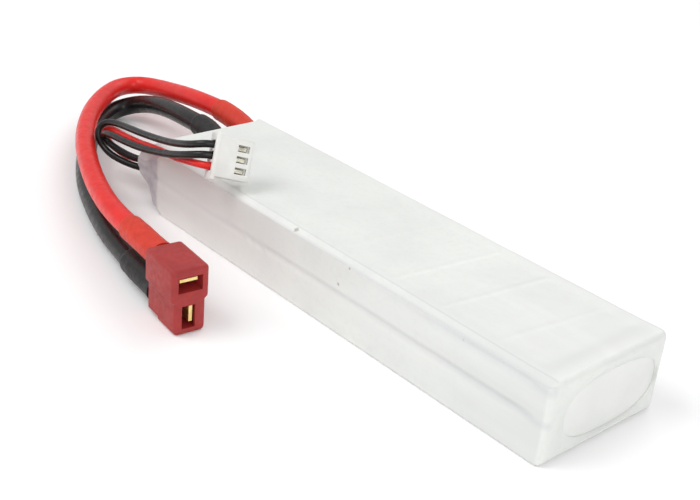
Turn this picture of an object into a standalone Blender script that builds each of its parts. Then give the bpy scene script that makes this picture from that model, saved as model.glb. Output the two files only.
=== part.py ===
"""Soft-cased two-cell lithium polymer battery pack with its main and balance leads.

Two pouch cells lie one on the other inside a shrunk film sleeve.  Their tabs reach a small junction
board at the lead end.  Two thick leads run from the board to a two-slot plug, whose sprung contacts
give way when a mating blade goes in, and three thin balance leads run to a three-way connector that
rests on the pack's near top edge.

The pack lies on the XY plane, long side along X, leads leaving towards -X, +Z up.  Sizes are stated
in millimetres and turned into metres by MM.
"""

import math

import bmesh
import bpy
from mathutils import Euler, Matrix, Vector

MM = 0.001
GAP = 0.3                       # clearance between touching pieces

# film sleeve
PACK_LENGTH = 133.0
PACK_WIDTH = 34.2
PACK_HEIGHT = 17.6
FILM = 0.3
EDGE_RADIUS = 1.2
FRONT_X = PACK_LENGTH / 2
REAR_X = -PACK_LENGTH / 2
SHOULDER_X = REAR_X + 7.0       # where the full section ends and the loose collar begins
MID_Z = PACK_HEIGHT / 2

# cells
CELL_THICKNESS = 7.7
CELL_WIDTH = 32.4
CELL_FRONT_X = 64.4
CELL_REAR_X = -49.0
SEAL_REAR_X = -53.5
CELL_LEVELS = {"lower": 4.5, "upper": 13.1}
TAB_WIDTH = 6.0
TAB_THICKNESS = 0.3
TAB_REAR_X = -57.4
TERMINAL_Y = 8.5                # tabs that feed the leads
LINK_Y = -3.0                   # tabs joined by the series link

# junction board
BOARD_X = -58.6
BOARD_THICKNESS = 0.9
BOARD_FACE_X = BOARD_X - GAP
LEAD_START_X = -60.2

# leads
LEAD_DIAMETER = 5.0
LEAD_STEP = 5.0
LEAD_PASSES = 60                # how far each lead's route is relaxed
WIRE_DIAMETER = 1.7
WIRE_STEP = 2.6
WIRE_PASSES = 12
RELAX_STEP = 0.5
SLEEVE_INNER = 2.75
SLEEVE_OUTER = 3.0
SLEEVE_SIDES = 16

# two-slot plug: X forward out of its face, Z up, origin at the bottom middle of the face
PLUG_PLACE = (-5.5, -42.4, 0.0)
PLUG_YAW = -6.0
PLUG_LENGTH = 12.2
PLUG_HEIGHT = 15.0
PLUG_SHOULDER_Z = 7.9
PLUG_HALF_TOP = 4.2
PLUG_HALF_BOTTOM = 3.5
LEAD_END = -17.5
POSITIVE_AXIS = (0.0, 11.9)     # Y and Z of each lead's end, in the plug's own frame
NEGATIVE_AXIS = (-0.4, 4.2)

# balance connector: X towards its mating end, Y across the ways, Z out of the window face
BALANCE_PLACE = (-29.4, -20.5, 26.2)
BALANCE_YAW = 63.2
BALANCE_PITCH = 13.3
BALANCE_ROLL = 66.0
BALANCE_LENGTH = 8.6
BALANCE_THICKNESS = 5.6
BALANCE_HALF_WIDTH = 4.55
FLANGE_LENGTH = 0.9
FLANGE_HALF_WIDTH = 5.3
WAY_PITCH = 2.5
WAY_DEPTH = -2.9                # height of the ways' axes in the connector's frame
WAYS = (-1, 0, 1)


def placed(place, euler_degrees):
    """The matrix of a frame at a place in millimetres, turned by XYZ Euler angles in degrees."""
    turn = Euler([math.radians(angle) for angle in euler_degrees], "XYZ").to_matrix().to_4x4()
    return Matrix.Translation(Vector(place) * MM) @ turn


PLUG_FRAME = placed(PLUG_PLACE, (0.0, 0.0, PLUG_YAW))
BALANCE_FRAME = placed(BALANCE_PLACE, (BALANCE_ROLL, BALANCE_PITCH, BALANCE_YAW))


def in_frame(frame, point):
    """A point of a frame, both in millimetres."""
    return tuple((frame @ (Vector(point) * MM)) / MM)


# Routes of the leads, in millimetres, from the junction board to what each lead ends in.
RED_ROUTE = [
    (-60.2, 13.3, 13.8), (-64.0, 13.9, 14.5), (-68.9, 14.4, 15.0), (-75.1, 14.8, 15.2),
    (-82.8, 15.1, 14.7), (-92.1, 16.2, 13.3), (-102.3, 17.5, 11.3), (-112.4, 18.0, 9.4),
    (-118.4, 16.3, 8.6), (-119.7, 11.1, 8.5), (-115.5, 4.0, 8.7), (-107.8, -4.3, 9.0),
    (-97.9, -12.3, 9.4), (-85.5, -20.3, 9.8), (-71.8, -27.2, 10.2), (-59.6, -32.3, 10.5),
    (-46.5, -36.6, 11.0), (-38.4, -38.4, 11.4), (-33.5, -39.2, 11.6),
    in_frame(PLUG_FRAME, (-22.5, 0.1, 11.9)), in_frame(PLUG_FRAME, (LEAD_END, *POSITIVE_AXIS)),
]
BLACK_ROUTE = [
    (-60.2, 4.6, 11.3), (-64.0, 5.2, 12.4), (-68.5, 6.4, 13.2), (-72.8, 6.8, 13.1),
    (-79.7, 7.6, 12.5), (-89.5, 9.6, 11.0), (-100.3, 11.5, 8.8), (-110.9, 12.8, 5.6),
    (-116.0, 11.1, 3.7), (-116.6, 6.6, 2.8), (-112.1, 0.2, 2.7), (-104.4, -7.4, 2.7),
    (-95.6, -13.9, 2.7), (-85.8, -20.1, 2.7), (-76.1, -25.4, 2.8), (-66.0, -29.7, 2.9),
    (-56.2, -33.3, 3.2), (-46.6, -36.3, 3.6), (-37.8, -38.3, 3.9),
    in_frame(PLUG_FRAME, (-22.5, -0.3, 4.2)), in_frame(PLUG_FRAME, (LEAD_END, *NEGATIVE_AXIS)),
]
BALANCE_ROUTES = {
    "balance_wire_negative": [
        (-60.2, -8.0, 7.0), (-64.0, -11.0, 7.0), (-68.0, -13.6, 7.0), (-71.5, -15.4, 7.2),
        (-74.4, -16.3, 7.4), (-78.9, -17.0, 7.8), (-82.3, -17.2, 9.0), (-83.9, -17.6, 11.0),
        (-84.6, -16.9, 12.8), (-84.0, -15.8, 14.2), (-81.6, -15.2, 15.1), (-77.0, -15.2, 16.0),
        (-65.1, -16.9, 18.3), (-53.6, -18.7, 20.9), (-44.5, -20.6, 23.6), (-37.4, -21.4, 26.0),
        (-33.8, -20.7, 27.3), in_frame(BALANCE_FRAME, (-GAP, WAY_PITCH, WAY_DEPTH)),
    ],
    "balance_wire_middle": [
        (-60.2, -8.0, 9.2), (-64.0, -11.0, 9.2), (-68.0, -13.7, 9.2), (-72.0, -15.1, 9.2),
        (-75.4, -15.7, 9.4), (-79.0, -16.2, 9.8), (-81.3, -16.9, 10.8), (-80.9, -17.8, 12.4),
        (-78.5, -18.4, 13.7), (-74.4, -19.0, 14.7), (-69.0, -19.6, 15.5), (-59.1, -20.7, 17.3),
        (-49.1, -21.6, 19.8), (-41.6, -22.5, 22.2), (-35.8, -22.5, 24.3), (-32.9, -21.4, 25.2),
        in_frame(BALANCE_FRAME, (-GAP, 0.0, WAY_DEPTH)),
    ],
    "balance_wire_positive": [
        (-60.2, -5.8, 8.1), (-64.0, -8.4, 8.1), (-68.5, -11.0, 8.1), (-75.2, -13.8, 7.7),
        (-79.7, -14.3, 8.0), (-83.8, -14.4, 8.8), (-86.2, -14.4, 10.3), (-85.4, -14.4, 12.0),
        (-82.0, -14.5, 12.9), (-74.1, -15.6, 14.0), (-65.4, -16.6, 15.4), (-59.1, -17.5, 16.8),
        (-52.0, -18.5, 18.2), (-43.8, -20.2, 20.1), (-37.4, -21.3, 21.8), (-33.3, -21.6, 22.8),
        in_frame(BALANCE_FRAME, (-GAP, -WAY_PITCH, WAY_DEPTH)),
    ],
}


# ---------------------------------------------------------------- materials and objects

def material(name, color, roughness, metallic=0.0):
    """A Principled material of one colour."""
    made = bpy.data.materials.new(name)
    made.use_nodes = True
    shader = made.node_tree.nodes["Principled BSDF"]
    shader.inputs["Base Color"].default_value = (*color, 1.0)
    shader.inputs["Roughness"].default_value = roughness
    shader.inputs["Metallic"].default_value = metallic
    return made


def add_mesh(name, mesh, finish, frame=None):
    """Link a mesh as a named object, in a frame if one is given, shaded smooth between sharp edges."""
    mesh.shade_smooth()
    mesh.set_sharp_from_angle(angle=math.radians(35))
    piece = bpy.data.objects.new(name, mesh)
    bpy.context.scene.collection.objects.link(piece)
    piece.data.materials.append(finish)
    if frame is not None:
        piece.parent = frame
    return piece


def mesh_from(name, bm):
    """Turn a bmesh into a mesh with its faces pointing out."""
    bmesh.ops.recalc_face_normals(bm, faces=bm.faces)
    mesh = bpy.data.meshes.new(name)
    bm.to_mesh(mesh)
    bm.free()
    return mesh


def loft(name, rings, finish, frame=None, closed=False):
    """A solid through rings of equally many points in millimetres.

    Flat faces close its ends, or the last ring joins the first when closed is true.
    """
    bm = bmesh.new()
    lines = [[bm.verts.new(Vector(point) * MM) for point in ring] for ring in rings]
    count = len(rings[0])
    pairs = list(zip(lines, lines[1:]))
    if closed:
        pairs.append((lines[-1], lines[0]))
    for first, second in pairs:
        for here in range(count):
            there = (here + 1) % count
            bm.faces.new((first[here], first[there], second[there], second[here]))
    if not closed:
        bm.faces.new(lines[0])
        bm.faces.new(lines[-1])
    return add_mesh(name, mesh_from(name, bm), finish, frame)


def box(name, low, high, finish, frame=None, bevel=0.0):
    """A box between two corners in millimetres, its edges rounded by bevel."""
    bm = bmesh.new()
    bmesh.ops.create_cube(bm, size=1.0)
    size = [b - a for a, b in zip(low, high)]
    middle = [(a + b) / 2 for a, b in zip(low, high)]
    bmesh.ops.scale(bm, vec=Vector(size) * MM, verts=bm.verts)
    bmesh.ops.translate(bm, vec=Vector(middle) * MM, verts=bm.verts)
    if bevel:
        bmesh.ops.bevel(bm, geom=bm.edges, offset=bevel * MM, segments=2, profile=0.5, affect="EDGES")
    return add_mesh(name, mesh_from(name, bm), finish, frame)


def cut_boxes(piece, boxes, finish):
    """Cut boxes, each given by two corners in millimetres, out of a piece in its own frame."""
    for number, (low, high) in enumerate(boxes):
        cutter = box(f"{piece.name}_cutter_{number}", low, high, finish, piece.parent)
        cutter.hide_render = True
        cutter.display_type = "WIRE"
        cut = piece.modifiers.new(f"cut_{number}", "BOOLEAN")
        cut.operation = "DIFFERENCE"
        cut.object = cutter


# ---------------------------------------------------------------- outlines and routes

def rounded_outline(half_width, half_height, radius, corner_steps=3, edge_steps=1):
    """Points of a rounded rectangle about the origin, as (across, up), from the far top corner."""
    points = []
    corners = [(1, 1, 0), (-1, 1, 90), (-1, -1, 180), (1, -1, 270)]
    for number, (side, level, start) in enumerate(corners):
        centre = (side * (half_width - radius), level * (half_height - radius))
        for step in range(corner_steps + 1):
            angle = math.radians(start + 90 * step / corner_steps)
            points.append((centre[0] + radius * math.cos(angle), centre[1] + radius * math.sin(angle)))
        next_side, next_level, next_start = corners[(number + 1) % 4]
        angle = math.radians(next_start)
        end = (next_side * (half_width - radius) + radius * math.cos(angle),
               next_level * (half_height - radius) + radius * math.sin(angle))
        begin = points[-1]
        for step in range(1, edge_steps):
            share = step / edge_steps
            points.append(tuple(a + (b - a) * share for a, b in zip(begin, end)))
    return points


def resampled(points, step):
    """Evenly spaced points along a line of points."""
    lengths = [0.0]
    for start, end in zip(points, points[1:]):
        lengths.append(lengths[-1] + (end - start).length)
    spans = max(2, round(lengths[-1] / step))
    even = []
    here = 0
    for number in range(spans + 1):
        target = lengths[-1] * number / spans
        while here < len(lengths) - 2 and lengths[here + 1] < target:
            here += 1
        share = (target - lengths[here]) / (lengths[here + 1] - lengths[here])
        even.append(points[here].lerp(points[here + 1], share))
    return even


def smooth_route(points, step, passes):
    """Evenly spaced points, in millimetres, on a smooth curve through a route.

    The curve is a centripetal Catmull-Rom spline, then relaxed as a springy lead would be: each pass
    moves every point halfway to the middle of its neighbours.
    """
    samples_per_span = 12
    knots = [Vector(point) for point in points]
    knots = [knots[0] * 2 - knots[1]] + knots + [knots[-1] * 2 - knots[-2]]
    fine = []
    for a, b, c, d in zip(knots, knots[1:], knots[2:], knots[3:]):
        t1 = math.sqrt((b - a).length)
        t2 = t1 + math.sqrt((c - b).length)
        t3 = t2 + math.sqrt((d - c).length)
        for sample in range(samples_per_span):
            t = t1 + (t2 - t1) * sample / samples_per_span
            ab = a.lerp(b, t / t1)
            bc = b.lerp(c, (t - t1) / (t2 - t1))
            cd = c.lerp(d, (t - t2) / (t3 - t2))
            abc = ab.lerp(bc, t / t2)
            bcd = bc.lerp(cd, (t - t1) / (t3 - t1))
            fine.append(abc.lerp(bcd, (t - t1) / (t2 - t1)))
    fine.append(knots[-2])
    line = resampled(fine, RELAX_STEP)
    for _ in range(passes):
        middle = [(a + b) / 2 for a, b in zip(line, line[2:])]
        line[1:-1] = [point.lerp(target, 0.5) for point, target in zip(line[1:-1], middle)]
    return resampled(line, step)


def cord(name, points, diameter, finish, bevel_resolution):
    """A lead: a round tube with filled ends along a line of points in millimetres."""
    curve = bpy.data.curves.new(name, "CURVE")
    curve.dimensions = "3D"
    curve.bevel_depth = diameter / 2 * MM
    curve.bevel_resolution = bevel_resolution
    curve.use_fill_caps = True
    curve.render_resolution_u = 0
    spline = curve.splines.new("POLY")
    spline.points.add(len(points) - 1)
    for control, point in zip(spline.points, points):
        control.co = (*(point * MM), 1.0)
    curve.materials.append(finish)
    lead = bpy.data.objects.new(name, curve)
    bpy.context.scene.collection.objects.link(lead)
    return lead


def turned_rings(path, radii, sides):
    """Rings of points about a path, one radius for each path point."""
    rings = []
    side = None
    for number, point in enumerate(path):
        ahead = path[min(number + 1, len(path) - 1)] - path[max(number - 1, 0)]
        ahead.normalize()
        side = ahead.orthogonal() if side is None else side - ahead * side.dot(ahead)
        side.normalize()
        other = ahead.cross(side)
        angles = [2 * math.pi * step / sides for step in range(sides)]
        rings.append([point + (side * math.cos(a) + other * math.sin(a)) * radii[number] for a in angles])
    return rings


def sleeve(name, path, finish):
    """A shrunk sleeve: a tube with a bore, following a path of points in millimetres."""
    outer = turned_rings(path, [SLEEVE_OUTER] * len(path), SLEEVE_SIDES)
    inner = turned_rings(path, [SLEEVE_INNER] * len(path), SLEEVE_SIDES)
    return loft(name, outer + inner[::-1], finish, closed=True)


def dome(name, centre, direction, radius, length, finish):
    """A solder joint: a rounded bead along a direction."""
    way = Vector(direction).normalized()
    steps = 4
    path = []
    radii = []
    for step in range(steps + 1):
        share = step / steps
        path.append(Vector(centre) + way * (length * (share - 0.5)))
        radii.append(radius * (0.55 + 0.45 * math.sin(math.pi * share)))
    return loft(name, turned_rings(path, radii, 10), finish)


# ---------------------------------------------------------------- film sleeve

def rim_x(across, level):
    """How far back the film reaches at a point of the section: it is cut slanting at the near side."""
    plain = -59.9 if level > MID_Z else -57.0
    if across > 0:
        return plain if abs(across) < PACK_WIDTH / 2 - 2 else -60.4
    flap = SHOULDER_X + 6.0 - 13.0 * (max(level, 0.05) / 12.4) ** 0.65
    flap = max(flap, REAR_X)
    near = min(1.0, max(0.0, (-across - 12.0) / 4.5))
    return plain + (flap - plain) * near


def film_point(x, across, level):
    """A point of the film's outer skin, with the slack at its open end added to the plain section."""
    slack = max(0.0, (CELL_REAR_X - x) / (CELL_REAR_X - SHOULDER_X))
    near = min(1.0, max(0.0, (-across - 12.0) / 5.0))
    top = min(1.0, max(0.0, (level - MID_Z) / MID_Z))
    dip = 3.8 * min(slack, 1.4) ** 1.3 * near ** 1.2 * top
    tuck = 1.6 * max(0.0, (SHOULDER_X - x) / 7.0) ** 1.5 * near
    return (x, across + tuck, level - dip)


def film_rings(offset):
    """Rings of the film's skin from its front opening to its rear rim, set in by an offset."""
    half_width = PACK_WIDTH / 2 - offset
    half_height = PACK_HEIGHT / 2 - offset
    radius = EDGE_RADIUS - offset / 2
    plain = rounded_outline(half_width, half_height, radius, edge_steps=6)
    face = rounded_outline(half_width - 0.9, half_height - 0.9, radius, edge_steps=6)
    opening = []
    for across, up in face:
        angle = math.atan2(up / half_height, across / half_width)
        reach = (math.cos(angle) ** 4 + math.sin(angle) ** 4) ** -0.25
        opening.append((2.4 + 13.4 * reach * math.cos(angle), -1.1 + 6.2 * reach * math.sin(angle)))
    between = [tuple((a + b) / 2 for a, b in zip(*pair)) for pair in zip(opening, face)]
    rings = [
        [(FRONT_X - 0.2 - offset, y, MID_Z + z) for y, z in opening],
        [(FRONT_X - offset, y, MID_Z + z) for y, z in between],
        [(FRONT_X - 0.1 - offset, y, MID_Z + z) for y, z in face],
    ]
    for x, groove in ((65.2, 0.2), (40.0, 0.4), (0.0, 0.4), (-38.0, 0.3)):
        ring = []
        for y, z in plain:
            hollow = groove if abs(z) < 0.5 and abs(y) > half_width - 1 else 0.0
            ring.append((x, y - math.copysign(hollow, y), MID_Z + z))
        rings.append(ring)
    for share in (0.0, 0.35, 0.7, 1.0):
        ring = []
        for (y, z), (outer_y, outer_z) in zip(plain, film_section()):
            x = CELL_REAR_X + (rim_x(outer_y, MID_Z + outer_z) - CELL_REAR_X) * share
            ring.append(film_point(x, y, MID_Z + z))
        rings.append(ring)
    return rings


def film_section():
    """The outer section of the sleeve's straight part."""
    return rounded_outline(PACK_WIDTH / 2, PACK_HEIGHT / 2, EDGE_RADIUS, edge_steps=6)


def film_wrap(finish):
    """The shrunk film sleeve: open at the lead end, with an oval window left at the front."""
    return loft("film_wrap", film_rings(0.0) + film_rings(FILM)[::-1], finish, closed=True)


# ---------------------------------------------------------------- cells and junction

def section_at(x, half_width, half_height, radius, level):
    """A rounded section across X at a level."""
    return [(x, y, level + z) for y, z in rounded_outline(half_width, half_height, radius)]


def pouch_cell(name, level, finish):
    """A pouch cell with its thin sealed ledge at the rear."""
    half_width = CELL_WIDTH / 2
    half_height = CELL_THICKNESS / 2
    rings = [
        section_at(CELL_FRONT_X, half_width - 1.0, half_height - 1.0, 1.0, level),
        section_at(CELL_FRONT_X - 1.0, half_width, half_height, 2.0, level),
        section_at(CELL_REAR_X + 1.5, half_width, half_height, 2.0, level),
        section_at(CELL_REAR_X, half_width - 2.0, 0.3, 0.25, level),
        section_at(SEAL_REAR_X, half_width - 2.0, 0.3, 0.25, level),
    ]
    return loft(name, rings, finish)


def cell_tab(name, across, level, finish):
    """A flat tab between a cell's sealed ledge and the junction board."""
    low = (TAB_REAR_X, across - TAB_WIDTH / 2, level - TAB_THICKNESS / 2)
    high = (SEAL_REAR_X - GAP, across + TAB_WIDTH / 2, level + TAB_THICKNESS / 2)
    return box(name, low, high, finish)


def series_link(finish):
    """The strip that joins the upper cell's negative tab to the lower cell's positive tab."""
    clear = TAB_THICKNESS / 2 + GAP
    low = (-56.4, LINK_Y - 2.5, CELL_LEVELS["lower"] + clear)
    high = (-55.8, LINK_Y + 2.5, CELL_LEVELS["upper"] - clear)
    return box("series_link", low, high, finish)


def cells_and_tabs(pouch, nickel, aluminium, tape):
    """Both cells, their tabs and link, and the tape between the cells."""
    for place, level in CELL_LEVELS.items():
        pouch_cell(f"cell_{place}", level, pouch)
    cell_tab("tab_positive_upper", TERMINAL_Y, CELL_LEVELS["upper"], aluminium)
    cell_tab("tab_negative_upper", LINK_Y, CELL_LEVELS["upper"], nickel)
    cell_tab("tab_positive_lower", LINK_Y, CELL_LEVELS["lower"], aluminium)
    cell_tab("tab_negative_lower", TERMINAL_Y, CELL_LEVELS["lower"], nickel)
    series_link(nickel)
    box("cell_bonding_tape", (-44.0, -13.0, MID_Z - 0.1), (58.0, 13.0, MID_Z + 0.1), tape)


def junction(board, solder, paper):
    """The junction board with its solder joints, and the insulating strips above and below it."""
    box("junction_board", (BOARD_X, -11.0, 3.0), (BOARD_X + BOARD_THICKNESS, 14.6, 15.2), board)
    length = BOARD_FACE_X - LEAD_START_X - 2 * GAP
    middle_x = BOARD_FACE_X - length / 2
    starts = {
        "solder_positive_lead": (RED_ROUTE[0], 2.0),
        "solder_negative_lead": (BLACK_ROUTE[0], 2.0),
        "solder_balance_negative": (BALANCE_ROUTES["balance_wire_negative"][0], 0.8),
        "solder_balance_middle": (BALANCE_ROUTES["balance_wire_middle"][0], 0.8),
        "solder_balance_positive": (BALANCE_ROUTES["balance_wire_positive"][0], 0.8),
    }
    for name, (start, radius) in starts.items():
        dome(name, (middle_x, start[1], start[2]), (1, 0, 0), radius, length, solder)
    box("insulation_strip_top", (-58.4, -10.0, 15.8), (-53.8, 14.4, 16.0), paper)
    box("insulation_strip_bottom", (-56.4, -12.0, 1.6), (-53.8, 14.4, 1.8), paper)


def front_end_board(finish):
    """The stiff white board that covers the cells at the blank end."""
    rings = [section_at(x, 16.1, 8.1, 1.6, MID_Z) for x in (64.8, 65.6)]
    return loft("front_end_board", rings, finish)


# ---------------------------------------------------------------- leads

def stretch(points, start, end):
    """The part of a line of points between two distances along it."""
    kept = []
    along = 0.0
    for here, there in zip(points, points[1:]):
        length = (there - here).length
        if along <= start < along + length:
            kept.append(here.lerp(there, (start - along) / length))
        along += length
        if start < along < end:
            kept.append(there)
        if along >= end:
            kept.append(here.lerp(there, 1 - (along - end) / length))
            break
    return kept


def lead_sleeves(red_film, black_film):
    """Four shrunk sleeves: one at each end of each thick lead."""
    lengths = {"red": (RED_ROUTE, POSITIVE_AXIS, red_film, 16.0, 10.5),
               "black": (BLACK_ROUTE, NEGATIVE_AXIS, black_film, 14.5, 9.5)}
    for colour, (route, axis, finish, pack_reach, plug_reach) in lengths.items():
        line = smooth_route(route, LEAD_STEP, LEAD_PASSES)
        sleeve(f"sleeve_{colour}_pack", stretch(line, 0.4, pack_reach), finish)
        plug_side = Vector(in_frame(PLUG_FRAME, (-PLUG_LENGTH - GAP, *axis)))
        sleeve(f"sleeve_{colour}_plug", [plug_side] + stretch(line[::-1], 0.2, plug_reach), finish)


def leads(red, black, red_film, black_film):
    """The two thick leads, their sleeves, and the three balance wires."""
    cord("main_lead_red", smooth_route(RED_ROUTE, LEAD_STEP, LEAD_PASSES), LEAD_DIAMETER, red, 4)
    cord("main_lead_black", smooth_route(BLACK_ROUTE, LEAD_STEP, LEAD_PASSES), LEAD_DIAMETER, black, 4)
    lead_sleeves(red_film, black_film)
    for name, route in BALANCE_ROUTES.items():
        finish = red if name.endswith("positive") else black
        cord(name, smooth_route(route, WIRE_STEP, WIRE_PASSES), WIRE_DIAMETER, finish, 2)


# ---------------------------------------------------------------- two-slot plug

def plug_profile(inset):
    """The plug's T-shaped section with rounded corners, as (across, up), from the top right."""
    radius = 1.0
    corners = [
        (PLUG_HALF_TOP - inset, PLUG_HEIGHT - inset, radius),
        (-PLUG_HALF_TOP + inset, PLUG_HEIGHT - inset, radius),
        (-PLUG_HALF_TOP + inset, PLUG_SHOULDER_Z, 0.3),
        (-PLUG_HALF_BOTTOM + inset, PLUG_SHOULDER_Z - 0.4, 0.2),
        (-PLUG_HALF_BOTTOM + inset, inset, radius),
        (PLUG_HALF_BOTTOM - inset, inset, radius),
        (PLUG_HALF_BOTTOM - inset, PLUG_SHOULDER_Z - 0.4, 0.2),
        (PLUG_HALF_TOP - inset, PLUG_SHOULDER_Z, 0.3),
    ]
    points = []
    count = len(corners)
    for number, (y, z, round_by) in enumerate(corners):
        here = Vector((y, z))
        before = Vector(corners[number - 1][:2])
        after = Vector(corners[(number + 1) % count][:2])
        start = here + (before - here).normalized() * round_by
        end = here + (after - here).normalized() * round_by
        for share in (0.0, 0.5, 1.0):
            points.append(start.lerp(here, share).lerp(here.lerp(end, share), share))
    return points


def plug_body(frame, finish):
    """The plug's moulded body: two blade slots, chambers for the contacts, and slots for the tabs."""
    rings = []
    for x, inset in ((0.0, 0.4), (-0.4, 0.0), (-PLUG_LENGTH + 0.3, 0.0), (-PLUG_LENGTH, 0.3)):
        rings.append([(x, point.x, point.y) for point in plug_profile(inset)])
    body = loft("plug_body", rings, finish, frame)
    cut_boxes(body, [
        ((-9.9, -2.8, 9.7), (-0.8, 2.7, 14.1)),        # upper chamber
        ((-1.2, -2.8, 9.7), (1.0, 2.7, 13.1)),         # upper slot's mouth
        ((-14.0, -2.1, 11.5), (-9.5, 2.1, 12.8)),      # upper tab's way out
        ((-9.9, -1.9, 1.4), (-0.8, 2.1, 6.6)),         # lower chamber
        ((-1.2, -1.9, 1.4), (1.0, 1.1, 6.6)),          # lower slot's mouth
        ((-14.0, -0.5, 2.2), (-9.5, 0.9, 6.1)),        # lower tab's way out
        ((-14.0, -5.0, -1.0), (-7.4, 5.0, 1.2)),       # step under the rear half
    ], finish)


def leaf_spring(name, at, finish, frame):
    """A bowed strip behind a contact: at(along, across, out) gives its points in the plug's frame."""
    rings = []
    steps = 6
    for step in range(steps + 1):
        share = step / steps
        along = -8.9 + 7.2 * share
        out = 0.5 * math.sin(math.pi * share)
        rings.append([at(along, -1.3, out), at(along, 1.3, out),
                      at(along, 1.3, out + 0.2), at(along, -1.3, out + 0.2)])
    return loft(name, rings, finish, frame)


def two_slot_plug(housing, brass, spring_steel, solder):
    """The plug: body, two sprung contacts with their springs, two tabs and their solder joints."""
    frame = bpy.data.objects.new("plug_frame", None)
    frame.matrix_world = PLUG_FRAME
    bpy.context.scene.collection.objects.link(frame)
    plug_body(frame, housing)
    box("contact_positive", (-9.3, -2.4, 11.9), (-0.4, 1.7, 12.7), brass, frame, bevel=0.12)
    box("contact_negative", (-9.3, -0.2, 2.6), (-0.4, 0.7, 6.3), brass, frame, bevel=0.12)
    leaf_spring("spring_positive", lambda x, w, out: (x, w, 13.05 + out), spring_steel, frame)
    leaf_spring("spring_negative", lambda x, w, out: (x, 1.05 + out, 4.4 + w), spring_steel, frame)
    box("solder_tab_positive", (-15.6, -1.7, 11.9), (-9.7, 1.7, 12.4), brass, frame)
    box("solder_tab_negative", (-15.6, -0.05, 2.6), (-9.7, 0.45, 5.8), brass, frame)
    middle = (-15.6 + LEAD_END) / 2
    for name, axis in (("solder_positive_plug", POSITIVE_AXIS), ("solder_negative_plug", NEGATIVE_AXIS)):
        centre = in_frame(PLUG_FRAME, (middle, *axis))
        direction = PLUG_FRAME.to_3x3() @ Vector((1, 0, 0))
        dome(name, centre, direction, 1.9, -15.6 - LEAD_END - 2 * GAP, solder)


# ---------------------------------------------------------------- balance connector

def balance_connector(nylon, tinned):
    """The three-way connector: a flanged housing with a window over each crimped terminal."""
    frame = bpy.data.objects.new("balance_frame", None)
    frame.matrix_world = BALANCE_FRAME
    bpy.context.scene.collection.objects.link(frame)
    sections = [
        (0.0, FLANGE_HALF_WIDTH, BALANCE_THICKNESS / 2 + 0.1),
        (FLANGE_LENGTH, FLANGE_HALF_WIDTH, BALANCE_THICKNESS / 2 + 0.1),
        (FLANGE_LENGTH, BALANCE_HALF_WIDTH, BALANCE_THICKNESS / 2),
        (BALANCE_LENGTH, BALANCE_HALF_WIDTH, BALANCE_THICKNESS / 2),
    ]
    rings = []
    for x, half_width, half_height in sections:
        outline = rounded_outline(half_width, half_height, 0.25, corner_steps=1)
        rings.append([(x, y, z - BALANCE_THICKNESS / 2) for y, z in outline])
    housing = loft("balance_housing", rings, nylon, frame)
    boxes = []
    for way in WAYS:
        y = way * WAY_PITCH
        boxes.append(((-1.0, y - 0.95, -4.6), (BALANCE_LENGTH + 1, y + 0.95, -1.2)))
        boxes.append(((5.1, y - 0.75, -1.6), (7.7, y + 0.75, 1.0)))
    cut_boxes(housing, boxes, nylon)
    for way, end in zip(WAYS, ("positive", "middle", "negative")):
        y = way * WAY_PITCH
        low = (1.2, y - 0.6, -3.9)
        high = (7.6, y + 0.6, -1.8)
        box(f"balance_terminal_{end}", low, high, tinned, frame, bevel=0.2)


# ---------------------------------------------------------------- the whole pack

def build():
    """Make every piece of the pack."""
    for old in list(bpy.data.objects):
        bpy.data.objects.remove(old, do_unlink=True)
    film = material("shrink_film", (0.80, 0.80, 0.78), 0.35)
    white_board = material("white_board", (0.86, 0.86, 0.84), 0.55)
    pouch = material("pouch_foil", (0.62, 0.63, 0.65), 0.30, 0.9)
    nickel = material("nickel", (0.66, 0.62, 0.55), 0.30, 1.0)
    aluminium = material("aluminium", (0.80, 0.81, 0.82), 0.32, 1.0)
    tape = material("bonding_tape", (0.85, 0.84, 0.78), 0.70)
    board = material("board_laminate", (0.05, 0.22, 0.10), 0.45)
    solder = material("solder", (0.70, 0.70, 0.70), 0.28, 1.0)
    paper = material("insulation_paper", (0.75, 0.68, 0.50), 0.80)
    red = material("red_silicone", (0.80, 0.045, 0.035), 0.42)
    black = material("black_silicone", (0.012, 0.011, 0.011), 0.38)
    red_film = material("red_shrink_sleeve", (0.70, 0.06, 0.035), 0.50)
    black_film = material("black_shrink_sleeve", (0.014, 0.013, 0.013), 0.48)
    housing = material("plug_nylon", (0.36, 0.035, 0.035), 0.45)
    brass = material("gold_plated_brass", (0.85, 0.62, 0.25), 0.25, 1.0)
    tinned = material("tinned_bronze", (0.62, 0.58, 0.46), 0.32, 1.0)
    spring_steel = material("spring_steel", (0.60, 0.60, 0.62), 0.25, 1.0)
    white_nylon = material("white_nylon", (0.85, 0.85, 0.82), 0.45)

    film_wrap(film)
    front_end_board(white_board)
    cells_and_tabs(pouch, nickel, aluminium, tape)
    junction(board, solder, paper)
    leads(red, black, red_film, black_film)
    two_slot_plug(housing, brass, spring_steel, solder)
    balance_connector(white_nylon, tinned)


build()
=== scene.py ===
"""Looks of the soft-cased battery pack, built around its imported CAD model.

The film, leads, sleeves, plug and balance connector are modelled finely here and stand for their CAD
solids.  Every other CAD piece keeps its shape and gets a better finish.  Sizes are in millimetres,
in the CAD model's own frame, and turned into metres by MM.
"""

import math

import bmesh
import bpy
from mathutils import Euler, Matrix, Vector, noise


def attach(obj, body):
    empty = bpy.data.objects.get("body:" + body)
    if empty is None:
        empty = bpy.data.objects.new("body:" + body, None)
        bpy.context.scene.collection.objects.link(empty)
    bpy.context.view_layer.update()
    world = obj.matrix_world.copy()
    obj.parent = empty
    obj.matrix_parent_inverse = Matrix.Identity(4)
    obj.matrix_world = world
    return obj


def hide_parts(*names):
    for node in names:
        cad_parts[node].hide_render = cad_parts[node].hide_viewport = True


MM = 0.001

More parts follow.
